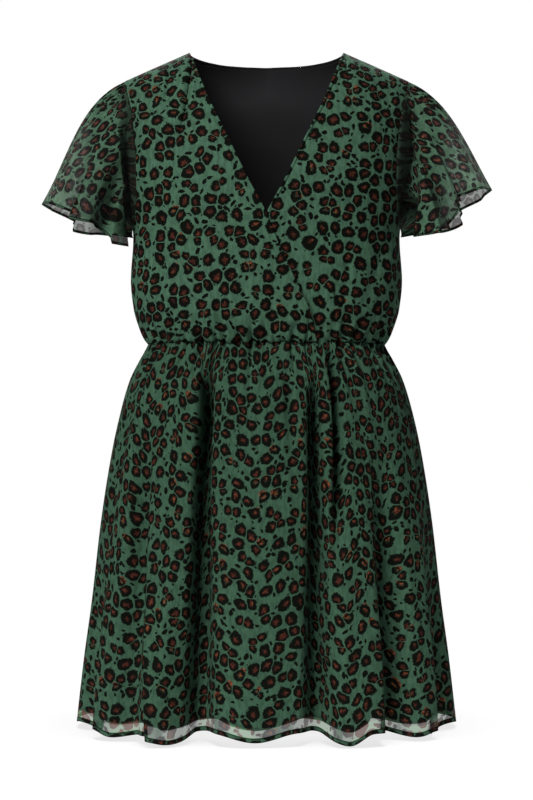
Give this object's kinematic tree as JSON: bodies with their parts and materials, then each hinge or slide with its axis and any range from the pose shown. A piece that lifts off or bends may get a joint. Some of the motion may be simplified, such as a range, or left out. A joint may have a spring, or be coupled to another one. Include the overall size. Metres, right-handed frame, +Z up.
{
  "type": "a-line dress",
  "caption": "Hollow worn a-line dress with a crossed V neck, short fluted sleeves, a gathered waist and a lined, fluted skirt.",
  "frame": {"origin": "middle of the neck opening, level with the neck ends of the two shoulder seams, where the wearer's shoulders carry the dress", "axes": "+X to the wearer's left, -Y out of the front, +Z up"},
  "size_m": [0.6329, 0.3424, 0.9389],
  "materials": {
    "printed_chiffon": "sheer matte crepe chiffon, sage green with a black and rust animal print",
    "black_lining": "matte plain black lining"
  },
  "bodies": {
    "root": {"bodice_front_right": "printed_chiffon", "bodice_front_left": "printed_chiffon", "bodice_back": "printed_chiffon", "sleeve_right": "printed_chiffon", "sleeve_left": "printed_chiffon", "skirt_front": "printed_chiffon", "skirt_back": "printed_chiffon", "bodice_lining_back": "black_lining", "skirt_lining_front": "black_lining", "skirt_lining_back": "black_lining"}
  },
  "joints": []
}
